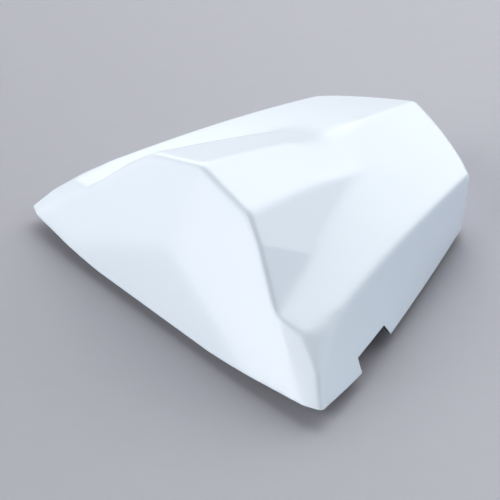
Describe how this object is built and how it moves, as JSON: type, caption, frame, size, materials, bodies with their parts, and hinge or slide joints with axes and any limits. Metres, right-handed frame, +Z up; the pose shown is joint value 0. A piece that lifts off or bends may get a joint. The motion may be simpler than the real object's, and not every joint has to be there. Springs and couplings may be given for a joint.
{
  "type": "motorbike seat cowl",
  "caption": "Faceted gloss-white solo seat cowl with a raised hump, side recesses, notched skirts and a V-shaped tail; ribbed hollow underside with a latch striker and rubber buffers.",
  "frame": {"origin": "on the plane that the buffers stand on, at the centre of the footprint", "axes": "+X across to the rider's left, +Y rearwards to the tail, +Z up"},
  "size_m": [0.2852, 0.2413, 0.0957],
  "materials": {
    "painted_shell": "gloss",
    "striker_steel": "zinc plated",
    "screw_steel": "blackened",
    "buffer_rubber": "matte"
  },
  "bodies": {
    "root": {"cowl_shell": "painted_shell", "latch_striker": "striker_steel", "striker_screws": "screw_steel", "rubber_buffers": "buffer_rubber"}
  },
  "joints": []
}
